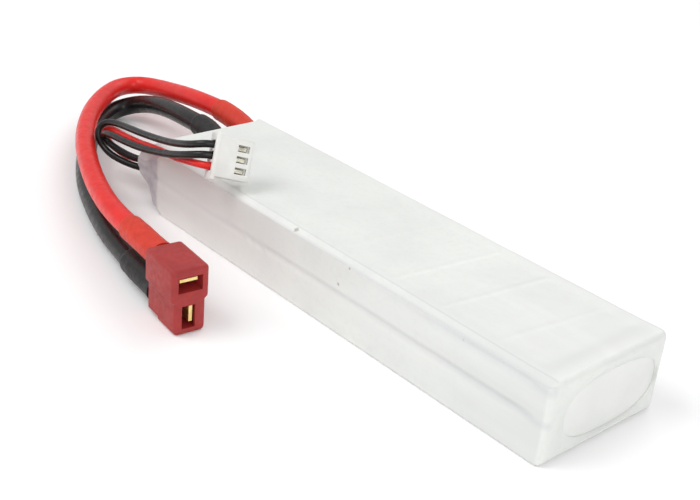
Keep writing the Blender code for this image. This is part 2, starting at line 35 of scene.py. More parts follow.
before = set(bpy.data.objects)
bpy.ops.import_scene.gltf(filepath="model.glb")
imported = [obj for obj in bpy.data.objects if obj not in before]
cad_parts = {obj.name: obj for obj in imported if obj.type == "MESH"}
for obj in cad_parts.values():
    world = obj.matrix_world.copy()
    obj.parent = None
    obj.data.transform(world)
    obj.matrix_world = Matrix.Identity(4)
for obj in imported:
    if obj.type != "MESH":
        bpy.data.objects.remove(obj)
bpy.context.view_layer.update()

PACK_WIDTH = 34.2
PACK_HEIGHT = 17.6
FRONT_X = 66.5
REAR_X = -66.5
SHOULDER_X = REAR_X + 7.0
CELL_REAR_X = -49.0
MID_Z = PACK_HEIGHT / 2
BAND_WIDTH = 1.9                    # the near top edge is a narrow sloping band between two folds
BAND_DROP = 0.95
FILM = 0.16

PLUG_PLACE = (-5.5, -42.4, 0.0)
PLUG_YAW = -6.0
PLUG_LENGTH = 12.2
PLUG_HEIGHT = 15.0
PLUG_SHOULDER_Z = 7.9
PLUG_HALF_TOP = 4.2
PLUG_HALF_BOTTOM = 3.5
LEAD_END = -17.5
POSITIVE_AXIS = (0.0, 11.9)
NEGATIVE_AXIS = (-0.4, 4.2)

BALANCE_PLACE = (-29.4, -20.5, 26.2)
BALANCE_TURN = (66.0, 13.3, 63.2)
BALANCE_LENGTH = 8.6
BALANCE_THICKNESS = 5.6
BALANCE_HALF_WIDTH = 4.55
FLANGE_LENGTH = 0.9
FLANGE_HALF_WIDTH = 5.3
WAY_PITCH = 2.5
WAY_DEPTH = -2.9

LEAD_DIAMETER = 5.0
LEAD_PASSES = 60
WIRE_DIAMETER = 1.7
WIRE_PASSES = 12
RELAX_STEP = 0.5


# ---------------------------------------------------------------- frames and routes

def placed(place, euler_degrees):
    """The matrix of a frame at a place in millimetres, turned by XYZ Euler angles in degrees."""
    turn = Euler([math.radians(angle) for angle in euler_degrees], "XYZ").to_matrix().to_4x4()
    return Matrix.Translation(Vector(place) * MM) @ turn


PLUG_FRAME = placed(PLUG_PLACE, (0.0, 0.0, PLUG_YAW))
BALANCE_FRAME = placed(BALANCE_PLACE, BALANCE_TURN)


def in_frame(matrix, point):
    """A point of a frame, both in millimetres."""
    return tuple((matrix @ (Vector(point) * MM)) / MM)


RED_ROUTE = [
    (-60.2, 13.3, 13.8), (-64.0, 13.9, 14.5), (-68.9, 14.4, 15.0), (-75.1, 14.8, 15.2),
    (-82.8, 15.1, 14.7), (-92.1, 16.2, 13.3), (-102.3, 17.5, 11.3), (-112.4, 18.0, 9.4),
    (-118.4, 16.3, 8.6), (-119.7, 11.1, 8.5), (-115.5, 4.0, 8.7), (-107.8, -4.3, 9.0),
    (-97.9, -12.3, 9.4), (-85.5, -20.3, 9.8), (-71.8, -27.2, 10.2), (-59.6, -32.3, 10.5),
    (-46.5, -36.6, 11.0), (-38.4, -38.4, 11.4), (-33.5, -39.2, 11.6),
    in_frame(PLUG_FRAME, (-22.5, 0.1, 11.9)), in_frame(PLUG_FRAME, (LEAD_END, *POSITIVE_AXIS)),
]
BLACK_ROUTE = [
    (-60.2, 4.6, 11.3), (-64.0, 5.2, 12.4), (-68.5, 6.4, 13.2), (-72.8, 6.8, 13.1),
    (-79.7, 7.6, 12.5), (-89.5, 9.6, 11.0), (-100.3, 11.5, 8.8), (-110.9, 12.8, 5.6),
    (-116.0, 11.1, 3.7), (-116.6, 6.6, 2.8), (-112.1, 0.2, 2.7), (-104.4, -7.4, 2.7),
    (-95.6, -13.9, 2.7), (-85.8, -20.1, 2.7), (-76.1, -25.4, 2.8), (-66.0, -29.7, 2.9),
    (-56.2, -33.3, 3.2), (-46.6, -36.3, 3.6), (-37.8, -38.3, 3.9),
    in_frame(PLUG_FRAME, (-22.5, -0.3, 4.2)), in_frame(PLUG_FRAME, (LEAD_END, *NEGATIVE_AXIS)),
]
BALANCE_ROUTES = {
    "balance_wire_negative": [
        (-60.2, -8.0, 7.0), (-64.0, -11.0, 7.0), (-68.0, -13.6, 7.0), (-71.5, -15.4, 7.2),
        (-74.4, -16.3, 7.4), (-78.9, -17.0, 7.8), (-82.3, -17.2, 9.0), (-83.9, -17.6, 11.0),
        (-84.6, -16.9, 12.8), (-84.0, -15.8, 14.2), (-81.6, -15.2, 15.1), (-77.0, -15.2, 16.0),
        (-65.1, -16.9, 18.3), (-53.6, -18.7, 20.9), (-44.5, -20.6, 23.6), (-37.4, -21.4, 26.0),
        (-33.8, -20.7, 27.3), in_frame(BALANCE_FRAME, (-0.3, WAY_PITCH, WAY_DEPTH)),
        in_frame(BALANCE_FRAME, (0.9, WAY_PITCH, WAY_DEPTH)),
    ],
    "balance_wire_middle": [
        (-60.2, -8.0, 9.2), (-64.0, -11.0, 9.2), (-68.0, -13.7, 9.2), (-72.0, -15.1, 9.2),
        (-75.4, -15.7, 9.4), (-79.0, -16.2, 9.8), (-81.3, -16.9, 10.8), (-80.9, -17.8, 12.4),
        (-78.5, -18.4, 13.7), (-74.4, -19.0, 14.7), (-69.0, -19.6, 15.5), (-59.1, -20.7, 17.3),
        (-49.1, -21.6, 19.8), (-41.6, -22.5, 22.2), (-35.8, -22.5, 24.3), (-32.9, -21.4, 25.2),
        in_frame(BALANCE_FRAME, (-0.3, 0.0, WAY_DEPTH)),
        in_frame(BALANCE_FRAME, (0.9, 0.0, WAY_DEPTH)),
    ],
    "balance_wire_positive": [
        (-60.2, -5.8, 8.1), (-64.0, -8.4, 8.1), (-68.5, -11.0, 8.1), (-75.2, -13.8, 7.7),
        (-79.7, -14.3, 8.0), (-83.8, -14.4, 8.8), (-86.2, -14.4, 10.3), (-85.4, -14.4, 12.0),
        (-82.0, -14.5, 12.9), (-74.1, -15.6, 14.0), (-65.4, -16.6, 15.4), (-59.1, -17.5, 16.8),
        (-52.0, -18.5, 18.2), (-43.8, -20.2, 20.1), (-37.4, -21.3, 21.8), (-33.3, -21.6, 22.8),
        in_frame(BALANCE_FRAME, (-0.3, -WAY_PITCH, WAY_DEPTH)),
        in_frame(BALANCE_FRAME, (0.9, -WAY_PITCH, WAY_DEPTH)),
    ],
}


def resampled(points, step):
    """Evenly spaced points along a line of points."""
    lengths = line_lengths(points)
    spans = max(2, round(lengths[-1] / step))
    even = []
    here = 0
    for number in range(spans + 1):
        target = lengths[-1] * number / spans
        while here < len(lengths) - 2 and lengths[here + 1] < target:
            here += 1
        share = (target - lengths[here]) / (lengths[here + 1] - lengths[here])
        even.append(points[here].lerp(points[here + 1], share))
    return even


def smooth_route(points, step, passes):
    """Evenly spaced points, in millimetres, on a smooth curve through a route.

    The curve is a centripetal Catmull-Rom spline, then relaxed as a springy lead would be: each pass
    moves every point halfway to the middle of its neighbours.
    """
    samples_per_span = 12
    knots = [Vector(point) for point in points]
    knots = [knots[0] * 2 - knots[1]] + knots + [knots[-1] * 2 - knots[-2]]
    fine = []
    for a, b, c, d in zip(knots, knots[1:], knots[2:], knots[3:]):
        t1 = math.sqrt((b - a).length)
        t2 = t1 + math.sqrt((c - b).length)
        t3 = t2 + math.sqrt((d - c).length)
        for sample in range(samples_per_span):
            t = t1 + (t2 - t1) * sample / samples_per_span
            ab = a.lerp(b, t / t1)
            bc = b.lerp(c, (t - t1) / (t2 - t1))
            cd = c.lerp(d, (t - t2) / (t3 - t2))
            abc = ab.lerp(bc, t / t2)
            bcd = bc.lerp(cd, (t - t1) / (t3 - t1))
            fine.append(abc.lerp(bcd, (t - t1) / (t2 - t1)))
    fine.append(knots[-2])
    line = resampled(fine, RELAX_STEP)
    for _ in range(passes):
        middle = [(a + b) / 2 for a, b in zip(line, line[2:])]
        line[1:-1] = [point.lerp(target, 0.5) for point, target in zip(line[1:-1], middle)]
    return resampled(line, step)


def line_lengths(points):
    """How far along the line each point is."""
    lengths = [0.0]
    for start, end in zip(points, points[1:]):
        lengths.append(lengths[-1] + (end - start).length)
    return lengths


def stretch(points, start, end):
    """The part of a line of points between two distances along it."""
    kept = []
    along = 0.0
    for here, there in zip(points, points[1:]):
        length = (there - here).length
        if along <= start < along + length:
            kept.append(here.lerp(there, (start - along) / length))
        along += length
        if start < along < end:
            kept.append(there)
        if along >= end:
            kept.append(here.lerp(there, 1 - (along - end) / length))
            break
    return kept


# ---------------------------------------------------------------- materials

class Finish:
    """A Principled material whose colour, roughness and bump come from procedural nodes."""

    def __init__(self, name, roughness, metallic=0.0, specular=0.5, coat=0.0, coat_roughness=0.1):
        self.material = bpy.data.materials.new(name)
        self.material.use_nodes = True
        self.nodes = self.material.node_tree.nodes
        self.links = self.material.node_tree.links
        self.shader = self.nodes["Principled BSDF"]
        self.shader.inputs["Roughness"].default_value = roughness
        self.shader.inputs["Metallic"].default_value = metallic
        self.shader.inputs["Specular IOR Level"].default_value = specular
        self.shader.inputs["Coat Weight"].default_value = coat
        self.shader.inputs["Coat Roughness"].default_value = coat_roughness
        self.place = self.nodes.new("ShaderNodeTexCoord").outputs["Object"]
        self.bump = None

    def stretched(self, scale, turn=(0, 0, 0)):
        """The object's coordinates, turned and scaled by axis."""
        mapping = self.nodes.new("ShaderNodeMapping")
        mapping.inputs["Rotation"].default_value = [math.radians(angle) for angle in turn]
        mapping.inputs["Scale"].default_value = scale
        self.links.new(self.place, mapping.inputs["Vector"])
        return mapping.outputs["Vector"]

    def noise(self, scale, detail=3.0, roughness=0.5, place=None, distortion=0.0):
        """A noise texture with features about 1/scale metres wide."""
        texture = self.nodes.new("ShaderNodeTexNoise")
        texture.inputs["Scale"].default_value = scale
        texture.inputs["Detail"].default_value = detail
        texture.inputs["Roughness"].default_value = roughness
        texture.inputs["Distortion"].default_value = distortion
        self.links.new(place or self.place, texture.inputs["Vector"])
        return texture.outputs["Fac"]

    def span(self, value, low, high, to_low=0.0, to_high=1.0):
        """A value's range mapped to another, clamped and eased."""
        mapped = self.nodes.new("ShaderNodeMapRange")
        mapped.interpolation_type = "SMOOTHSTEP"
        for name, number in (("From Min", low), ("From Max", high), ("To Min", to_low), ("To Max", to_high)):
            mapped.inputs[name].default_value = number
        self.links.new(value, mapped.inputs["Value"])
        return mapped.outputs["Result"]

    def math(self, operation, first, second=None):
        """A math node on sockets or numbers."""
        node = self.nodes.new("ShaderNodeMath")
        node.operation = operation
        for socket, value in zip(node.inputs, (first, second)):
            if value is None:
                continue
            if isinstance(value, (int, float)):
                socket.default_value = value
            else:
                self.links.new(value, socket)
        return node.outputs["Value"]

    def axis(self, name):
        """One of the object's coordinates."""
        split = self.nodes.new("ShaderNodeSeparateXYZ")
        self.links.new(self.place, split.inputs["Vector"])
        return split.outputs[name]

    def mix(self, share, first, second):
        """A colour mixed from two colours or sockets."""
        node = self.nodes.new("ShaderNodeMix")
        node.data_type = "RGBA"
        node.clamp_factor = True
        self.links.new(share, node.inputs["Factor"])
        for socket, value in ((node.inputs["A"], first), (node.inputs["B"], second)):
            if isinstance(value, tuple):
                socket.default_value = (*value, 1.0)
            else:
                self.links.new(value, socket)
        return node.outputs["Result"]

    def spot(self, centre, radius):
        """1 within a small uneven spot about a point in millimetres, 0 outside it."""
        away = self.nodes.new("ShaderNodeVectorMath")
        away.operation = "DISTANCE"
        self.links.new(self.place, away.inputs[0])
        away.inputs[1].default_value = [value * MM for value in centre]
        uneven = self.math("MULTIPLY", self.noise(2600.0, 2.0), radius * MM * 1.2)
        distance = self.math("SUBTRACT", away.outputs["Value"], uneven)
        return self.span(distance, 0.0, radius * MM * 0.7, 1.0, 0.0)

    def raise_by(self, height, strength, distance):
        """Add a height to the bump, in metres at full strength."""
        node = self.nodes.new("ShaderNodeBump")
        node.inputs["Strength"].default_value = strength
        node.inputs["Distance"].default_value = distance
        self.links.new(height, node.inputs["Height"])
        if self.bump is not None:
            self.links.new(self.bump, node.inputs["Normal"])
        self.bump = node.outputs["Normal"]

    def done(self, colour=None, roughness=None):
        """Join the colour, roughness and bump to the shader and return the material."""
        if colour is not None:
            self.links.new(colour, self.shader.inputs["Base Color"])
        if roughness is not None:
            self.links.new(roughness, self.shader.inputs["Roughness"])
        if self.bump is not None:
            self.links.new(self.bump, self.shader.inputs["Normal"])
        return self.material


def near(made, value, centre, width):
    """1 where a coordinate is at a centre, falling to 0 at a width from it, both in millimetres."""
    away = made.math("ABSOLUTE", made.math("SUBTRACT", value, centre * MM))
    return made.span(away, 0.0, width * MM, 1.0, 0.0)


def film_finish():
    """White shrink film: satin, faintly mottled, painted paler towards the leads as painted light, with
    painted shade along its folds and fine draw lines.
    """
    made = Finish("white_shrink_film", 0.36, coat=0.25, coat_roughness=0.22)
    mottle = made.span(made.noise(55.0, 4.0), 0.35, 0.65)
    colour = made.mix(mottle, (0.775, 0.790, 0.760), (0.735, 0.748, 0.725))
    fine = made.span(made.noise(900.0, 3.0), 0.45, 0.75)
    colour = made.mix(made.math("MULTIPLY", fine, 0.25), colour, (0.66, 0.67, 0.66))
    # painted light: the near side is lightened towards the rear, where the leads and balance connector shade
    # it
    rear = made.span(made.axis("X"), 0.012, -0.058)
    side = made.span(made.axis("Y"), -0.0150, -0.0169)
    painted_light_at_rear = made.math("MULTIPLY", made.math("MULTIPLY", rear, side), 0.80)
    colour = made.mix(painted_light_at_rear, colour, (0.830, 0.820, 0.800))
    collar = made.math("MULTIPLY", made.span(made.axis("X"), -0.0568, -0.0580), side)
    cloudy = made.mix(made.span(made.noise(420.0, 4.0), 0.35, 0.65), (0.56, 0.53, 0.56), (0.45, 0.42, 0.46))
    colour = made.mix(made.math("MULTIPLY", collar, 0.9), colour, cloudy)
    front = made.span(made.axis("X"), 0.020, 0.066, 0.0, 0.9)
    short_of_face = made.span(made.axis("X"), 0.0650, 0.0658, 1.0, 0.0)
    colour = made.mix(made.math("MULTIPLY", front, short_of_face), colour, (0.690, 0.702, 0.685))
    # painted shade darkens the film along its folds and seam
    for shade, share in fold_shades(made, side):
        colour = made.mix(made.math("MULTIPLY", shade, share), colour, (0.56, 0.57, 0.60))
    streaks = made.noise(140.0, 3.0, place=made.stretched((0.12, 1.0, 1.0)))
    colour = made.mix(made.span(streaks, 0.52, 0.72, 0.0, 0.25), colour, (0.82, 0.83, 0.81))
    for centre, radius in SPECKS:
        colour = made.mix(made.math("MULTIPLY", made.spot(centre, radius), 0.65), colour, (0.30, 0.24, 0.17))
    roughness = made.span(made.noise(260.0, 4.0), 0.3, 0.7, 0.30, 0.44)
    made.raise_by(streaks, 0.10, 0.0004)
    made.raise_by(made.noise(1500.0, 3.0), 0.05, 0.0002)
    return made.done(colour, roughness)


def fold_shades(made, side):
    """Painted shade along the film's folds, under the near top edge and along the side seam, each with how
    strongly it shows.
    """
    x, y, z = (made.axis(name) for name in "XYZ")
    on_top = made.span(z, 0.0171, 0.0174)
    forward = made.math("MULTIPLY", made.span(x, 0.010, 0.060), side)
    upper_fold = made.math("MULTIPLY", near(made, y, -PACK_WIDTH / 2 + BAND_WIDTH, 0.35), on_top)
    lower_fold = made.math("MULTIPLY", near(made, z, PACK_HEIGHT - BAND_DROP, 0.30), side)
    under_fold = made.math("MULTIPLY", near(made, z, PACK_HEIGHT - 2.0, 1.6), forward)
    seam = made.math("MULTIPLY", near(made, z, MID_Z, 1.2), side)
    seam_forward = made.math("MULTIPLY", near(made, z, MID_Z, 1.4), forward)
    return (upper_fold, 0.45), (lower_fold, 0.45), (under_fold, 0.40), (seam, 0.16), (seam_forward, 0.25)


def board_finish(name, light, dark):
    """A stiff smooth sheet with a faint paper tooth."""
    made = Finish(name, 0.5)
    colour = made.mix(made.span(made.noise(90.0, 5.0), 0.3, 0.7), light, dark)
    made.raise_by(made.noise(2200.0, 4.0), 0.12, 0.0002)
    return made.done(colour, made.span(made.noise(500.0), 0.3, 0.7, 0.42, 0.6))


def silicone_finish(name, light, dark, roughness):
    """Silicone lead insulation: satin, with a faint uneven bump and a trace of dust."""
    made = Finish(name, roughness, specular=0.38)
    colour = made.mix(made.span(made.noise(320.0, 4.0), 0.35, 0.7), light, dark)
    dust = made.span(made.noise(2400.0, 2.0), 0.70, 0.80, 0.0, 0.35)
    colour = made.mix(dust, colour, tuple(0.5 * value + 0.12 for value in light))
    uneven = made.span(made.noise(700.0, 3.0), 0.3, 0.7, roughness - 0.07, roughness + 0.08)
    made.raise_by(made.noise(1700.0, 3.0), 0.04, 0.0002)
    made.raise_by(made.noise(200.0, 2.0), 0.04, 0.0005)
    return made.done(colour, uneven)


def sleeve_finish(name, light, dark):
    """Shrunk polyolefin sleeve: matter than the lead, slightly crinkled."""
    made = Finish(name, 0.5, specular=0.4)
    colour = made.mix(made.span(made.noise(420.0, 4.0), 0.35, 0.7), light, dark)
    made.raise_by(made.noise(520.0, 4.0), 0.35, 0.0005)
    made.raise_by(made.noise(2600.0, 3.0), 0.15, 0.0002)
    return made.done(colour, made.span(made.noise(900.0), 0.3, 0.7, 0.42, 0.58))


def moulded_finish(name, light, dark, roughness, rub_and_highlight=None):
    """Moulded plastic: spark-eroded grain, faint flow clouding and, if given, lighter patches that are
    partly rubbing and partly a painted highlight.
    """
    made = Finish(name, roughness, specular=0.45)
    colour = made.mix(made.span(made.noise(240.0, 4.0, distortion=0.6), 0.3, 0.7), light, dark)
    if rub_and_highlight is not None:
        # lighter patches, partly rubbed wear and partly a painted highlight for the sheen along the plug's
        # edges
        highlight_and_rub_patches = made.span(made.noise(620.0, 5.0, 0.65), 0.60, 0.78, 0.0, 0.30)
        colour = made.mix(highlight_and_rub_patches, colour, rub_and_highlight)
    uneven = made.span(made.noise(800.0, 4.0), 0.3, 0.7, roughness - 0.08, roughness + 0.1)
    made.raise_by(made.noise(4200.0, 4.0, 0.6), 0.22, 0.00015)
    made.raise_by(made.noise(500.0, 2.0), 0.12, 0.0004)
    return made.done(colour, uneven)


def metal_finish(name, light, dark, roughness, along=(1.0, 0.08, 1.0)):
    """Rolled metal strip: drawn scratches, dull patches."""
    made = Finish(name, roughness, metallic=1.0)
    colour = made.mix(made.span(made.noise(700.0, 4.0), 0.35, 0.7), light, dark)
    scratches = made.noise(5200.0, 3.0, place=made.stretched(along))
    made.raise_by(scratches, 0.2, 0.0001)
    uneven = made.span(made.noise(1300.0, 4.0), 0.3, 0.7, roughness - 0.1, roughness + 0.14)
    return made.done(colour, uneven)


def pouch_finish():
    """Laminated pouch foil: soft silver with small dents."""
    made = Finish("pouch_laminate", 0.35, metallic=0.85)
    colour = made.mix(made.span(made.noise(150.0, 4.0), 0.35, 0.7), (0.66, 0.67, 0.69), (0.55, 0.56, 0.58))
    made.raise_by(made.noise(300.0, 4.0), 0.4, 0.0006)
    return made.done(colour, made.span(made.noise(420.0), 0.3, 0.7, 0.26, 0.44))


def solder_finish():
    """Tin solder: bright, slightly frosted."""
    made = Finish("tin_solder", 0.25, metallic=1.0)
    colour = made.mix(made.span(made.noise(1500.0, 5.0), 0.35, 0.7), (0.74, 0.74, 0.73), (0.52, 0.52, 0.53))
    made.raise_by(made.noise(2200.0, 4.0), 0.35, 0.0002)
    return made.done(colour, made.span(made.noise(2600.0), 0.3, 0.7, 0.16, 0.42))


SPECKS = [((-5.2, -16.2, 17.2), 0.60), ((13.0, -17.0, 16.2), 0.28), ((10.2, -17.0, 11.4), 0.34),
          ((25.0, -16.8, 8.9), 0.28), ((44.7, -17.0, 15.6), 0.28)]


# ---------------------------------------------------------------- meshes

def new_piece(name, rings, finish, body, closed=False, smooth_angle=40.0, stands_for=()):
    """A lofted piece through rings of equally many points in millimetres, riding on a CAD body."""
    bm = bmesh.new()
    lines = [[bm.verts.new(Vector(point) * MM) for point in ring] for ring in rings]
    count = len(rings[0])
    pairs = list(zip(lines, lines[1:]))
    if closed:
        pairs.append((lines[-1], lines[0]))
    for first, second in pairs:
        for here in range(count):
            there = (here + 1) % count
            bm.faces.new((first[here], first[there], second[there], second[here]))
    if not closed:
        bm.faces.new(lines[0])
        bm.faces.new(lines[-1])
    return finish_piece(name, bm, finish, body, smooth_angle, stands_for)


def finish_piece(name, bm, finish, body, smooth_angle=40.0, stands_for=()):
    """Make a bmesh a named, shaded piece that rides on a body and stands for CAD nodes."""
    bmesh.ops.recalc_face_normals(bm, faces=bm.faces)
    mesh = bpy.data.meshes.new(name)
    bm.to_mesh(mesh)
    bm.free()
    mesh.shade_smooth()
    mesh.set_sharp_from_angle(angle=math.radians(smooth_angle))
    mesh.materials.append(finish)
    piece = bpy.data.objects.new(name, mesh)
    bpy.context.scene.collection.objects.link(piece)
    if body is not None:
        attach(piece, body)
        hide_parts(*stands_for)
    return piece


def rounded_outline(half_width, half_height, radii, corner_steps, spacing):
    """Points of a rectangle with four corner radii, as (across, up), from the far top corner round."""
    points = []
    corners = [(1, 1, 0), (-1, 1, 90), (-1, -1, 180), (1, -1, 270)]

    def on_corner(number, angle_degrees):
        side, level, _ = corners[number % 4]
        radius = radii[number % 4]
        angle = math.radians(angle_degrees)
        return (side * (half_width - radius) + radius * math.cos(angle),
                level * (half_height - radius) + radius * math.sin(angle))

    for number in range(4):
        start = corners[number][2]
        for step in range(corner_steps + 1):
            points.append(on_corner(number, start + 90 * step / corner_steps))
        begin = points[-1]
        end = on_corner(number + 1, corners[(number + 1) % 4][2])
        length = PACK_WIDTH if number % 2 == 0 else PACK_HEIGHT
        steps = round(length / spacing)
        for step in range(1, steps):
            share = step / steps
            points.append(tuple(a + (b - a) * share for a, b in zip(begin, end)))
    return points


def turned_rings(path, radii, sides):
    """Rings of points about a path, one radius for each path point."""
    rings = []
    side = None
    for number, point in enumerate(path):
        ahead = path[min(number + 1, len(path) - 1)] - path[max(number - 1, 0)]
        ahead.normalize()
        side = ahead.orthogonal() if side is None else side - ahead * side.dot(ahead)
        side.normalize()
        other = ahead.cross(side)
        angles = [2 * math.pi * step / sides for step in range(sides)]
        rings.append([point + (side * math.cos(a) + other * math.sin(a)) * radii[number] for a in angles])
    return rings


# ---------------------------------------------------------------- camera

def camera():
    """The camera, at the angle the pack is seen from."""
    azimuth, elevation, roll = (math.radians(angle) for angle in (46.311, 26.581, 5.618))
    back = Vector((math.sin(azimuth) * math.cos(elevation),
                   -math.cos(azimuth) * math.cos(elevation), math.sin(elevation)))
    right = Vector((0, 0, 1)).cross(back).normalized()
    up = back.cross(right)
    turned_right = right * math.cos(roll) + up * math.sin(roll)
    turned_up = up * math.cos(roll) - right * math.sin(roll)
    data = bpy.data.cameras.new("camera")
    data.sensor_width = 36.0
    data.lens = 60.62
    data.clip_start = 0.01
    data.clip_end = 20.0
    view = bpy.data.objects.new("camera", data)
    view.matrix_world = Matrix((
        (turned_right.x, turned_up.x, back.x, 164.757 * MM),
        (turned_right.y, turned_up.y, back.y, -162.345 * MM),
        (turned_right.z, turned_up.z, back.z, 125.551 * MM),
        (0, 0, 0, 1),
    ))
    bpy.context.scene.collection.objects.link(view)
    bpy.context.scene.camera = view


# ---------------------------------------------------------------- leads

def cord_piece(name, points, diameter, finish):
    """A lead as a smooth round tube along a line of points in millimetres."""
    curve = bpy.data.curves.new(name, "CURVE")
    curve.dimensions = "3D"
    curve.bevel_depth = diameter / 2 * MM
    curve.bevel_resolution = 8
    curve.use_fill_caps = True
    spline = curve.splines.new("POLY")
    spline.points.add(len(points) - 1)
    for control, point in zip(spline.points, points):
        control.co = (*(point * MM), 1.0)
    spline.use_smooth = True
    curve.materials.append(finish)
    piece = bpy.data.objects.new(name, curve)
    bpy.context.scene.collection.objects.link(piece)
    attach(piece, "pack")
    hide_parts(name.removesuffix("_fine"))
    return piece, line_lengths(points)[-1] * MM


def sleeve_piece(name, path, finish, seed, mouth_at_end, flare):
    """A shrunk sleeve: uneven wall, a lip at its free end and a flare where it grips the part."""
    lengths = line_lengths(path)
    total = lengths[-1]
    outer = []
    for point, along in zip(path, lengths):
        free = total - along if mouth_at_end else along
        gripped = along if mouth_at_end else total - along
        radius = 2.93 + 0.05 * noise.noise(Vector((along * 0.45, seed, 0.0)))
        radius += flare * math.exp(-(gripped / 1.6) ** 2)
        radius -= 0.16 * math.exp(-(free / 0.35) ** 2)
        outer.append(radius)
    inner = [2.56] * len(path)
    rings = turned_rings(path, outer, 48) + turned_rings(path, inner, 48)[::-1]
    cad_node = name.removesuffix("_fine")
    return new_piece(name, rings, finish, "pack", closed=True, stands_for=[cad_node])


def make_sleeves(red, black):
    """The four sleeves of the thick leads."""
    made = {}
    lengths = {"red": (RED_ROUTE, POSITIVE_AXIS, red, 16.0, 10.5, 0.0),
               "black": (BLACK_ROUTE, NEGATIVE_AXIS, black, 14.5, 9.5, 5.0)}
    for colour, (route, axis, finish, pack_reach, plug_reach, seed) in lengths.items():
        line = smooth_route(route, 0.35, LEAD_PASSES)
        made[f"{colour}_pack"] = sleeve_piece(
            f"sleeve_{colour}_pack_fine", stretch(line, 0.4, pack_reach), finish,
            seed, True, 0.0)
        plug_side = Vector(in_frame(PLUG_FRAME, (-PLUG_LENGTH - 0.25, *axis)))
        plug_end = Vector(in_frame(PLUG_FRAME, (LEAD_END, *axis)))
        straight = [plug_side.lerp(plug_end, step / 14) for step in range(14)]
        path = straight + stretch(line[::-1], 0.0, plug_reach)
        made[f"{colour}_plug"] = sleeve_piece(
            f"sleeve_{colour}_plug_fine", path, finish,
            seed + 2.0, True, 0.18)
    return made


# ---------------------------------------------------------------- plug

def cutter(low, high, matrix):
    """A hidden box between two corners, in millimetres in a frame, for cutting."""
    bm = bmesh.new()
    bmesh.ops.create_cube(bm, size=1.0)
    size = [b - a for a, b in zip(low, high)]
    middle = [(a + b) / 2 for a, b in zip(low, high)]
    bmesh.ops.scale(bm, vec=Vector(size) * MM, verts=bm.verts)
    bmesh.ops.translate(bm, vec=Vector(middle) * MM, verts=bm.verts)
    mesh = bpy.data.meshes.new("cutter")
    bm.to_mesh(mesh)
    bm.free()
    mesh.transform(matrix)
    piece = bpy.data.objects.new("cutter", mesh)
    bpy.context.scene.collection.objects.link(piece)
    return piece


def carve(piece, boxes, matrix, bevel):
    """Cut boxes out of a piece, round its sharp edges and bake the result into its mesh."""
    tools = [cutter(low, high, matrix) for low, high in boxes]
    for tool in tools:
        cut = piece.modifiers.new("cut", "BOOLEAN")
        cut.operation = "DIFFERENCE"
        cut.solver = "EXACT"
        cut.object = tool
    round_edges = piece.modifiers.new("round", "BEVEL")
    round_edges.width = bevel * MM
    round_edges.segments = 3
    round_edges.limit_method = "ANGLE"
    round_edges.angle_limit = math.radians(40)
    round_edges.harden_normals = False
    bpy.context.view_layer.update()
    shaped = bpy.data.meshes.new_from_object(piece.evaluated_get(bpy.context.evaluated_depsgraph_get()))
    piece.modifiers.clear()
    old = piece.data
    piece.data = shaped
    shaped.shade_smooth()
    shaped.set_sharp_from_angle(angle=math.radians(50))
    bpy.data.meshes.remove(old)
    for tool in tools:
        bpy.data.objects.remove(tool)


def plug_profile(inset):
    """The plug's T-shaped section with rounded corners, as (across, up), from the top right."""
    radius = 1.0
    corners = [
        (PLUG_HALF_TOP - inset, PLUG_HEIGHT - inset, radius),
        (-PLUG_HALF_TOP + inset, PLUG_HEIGHT - inset, radius),
        (-PLUG_HALF_TOP + inset, PLUG_SHOULDER_Z, 0.35),
        (-PLUG_HALF_BOTTOM + inset, PLUG_SHOULDER_Z - 0.6, 0.3),
        (-PLUG_HALF_BOTTOM + inset, inset, radius),
        (PLUG_HALF_BOTTOM - inset, inset, radius),
        (PLUG_HALF_BOTTOM - inset, PLUG_SHOULDER_Z - 0.6, 0.3),
        (PLUG_HALF_TOP - inset, PLUG_SHOULDER_Z, 0.35),
    ]
    points = []
    count = len(corners)
    steps = 6
    for number, (y, z, round_by) in enumerate(corners):
        here = Vector((y, z))
        before = Vector(corners[number - 1][:2])
        after = Vector(corners[(number + 1) % count][:2])
        start = here + (before - here).normalized() * round_by
        end = here + (after - here).normalized() * round_by
        for step in range(steps + 1):
            share = step / steps
            points.append(start.lerp(here, share).lerp(here.lerp(end, share), share))
    return points


def plug(finish):
    """The two-slot plug's body."""
    sections = []
    edge = 0.75
    for step in range(5):
        angle = math.radians(90 * step / 4)
        sections.append((-edge * (1 - math.cos(angle)), edge * (1 - math.sin(angle))))
    for step in range(5):
        angle = math.radians(90 * step / 4)
        sections.append((-PLUG_LENGTH + edge * (1 - math.sin(angle)), edge * (1 - math.cos(angle))))
    rings = []
    for x, inset in sections:
        ring = [in_frame(PLUG_FRAME, (x, point.x, point.y)) for point in plug_profile(inset)]
        rings.append(ring)
    body = new_piece("plug_body_fine", rings, finish, "pack", stands_for=["plug_body"])
    carve(body, [
        ((-9.9, -2.8, 9.7), (-0.8, 2.7, 14.1)),
        ((-1.2, -2.8, 9.7), (1.0, 2.7, 13.1)),
        ((-14.0, -2.1, 11.5), (-9.5, 2.1, 12.8)),
        ((-9.9, -1.9, 1.4), (-0.8, 2.1, 6.6)),
        ((-1.2, -1.9, 1.4), (1.0, 1.1, 6.6)),
        ((-14.0, -0.5, 2.2), (-9.5, 0.9, 6.1)),
        ((-14.0, -5.0, -1.0), (-7.4, 5.0, 1.2)),
    ], PLUG_FRAME, 0.18)
    return body


# ---------------------------------------------------------------- balance connector

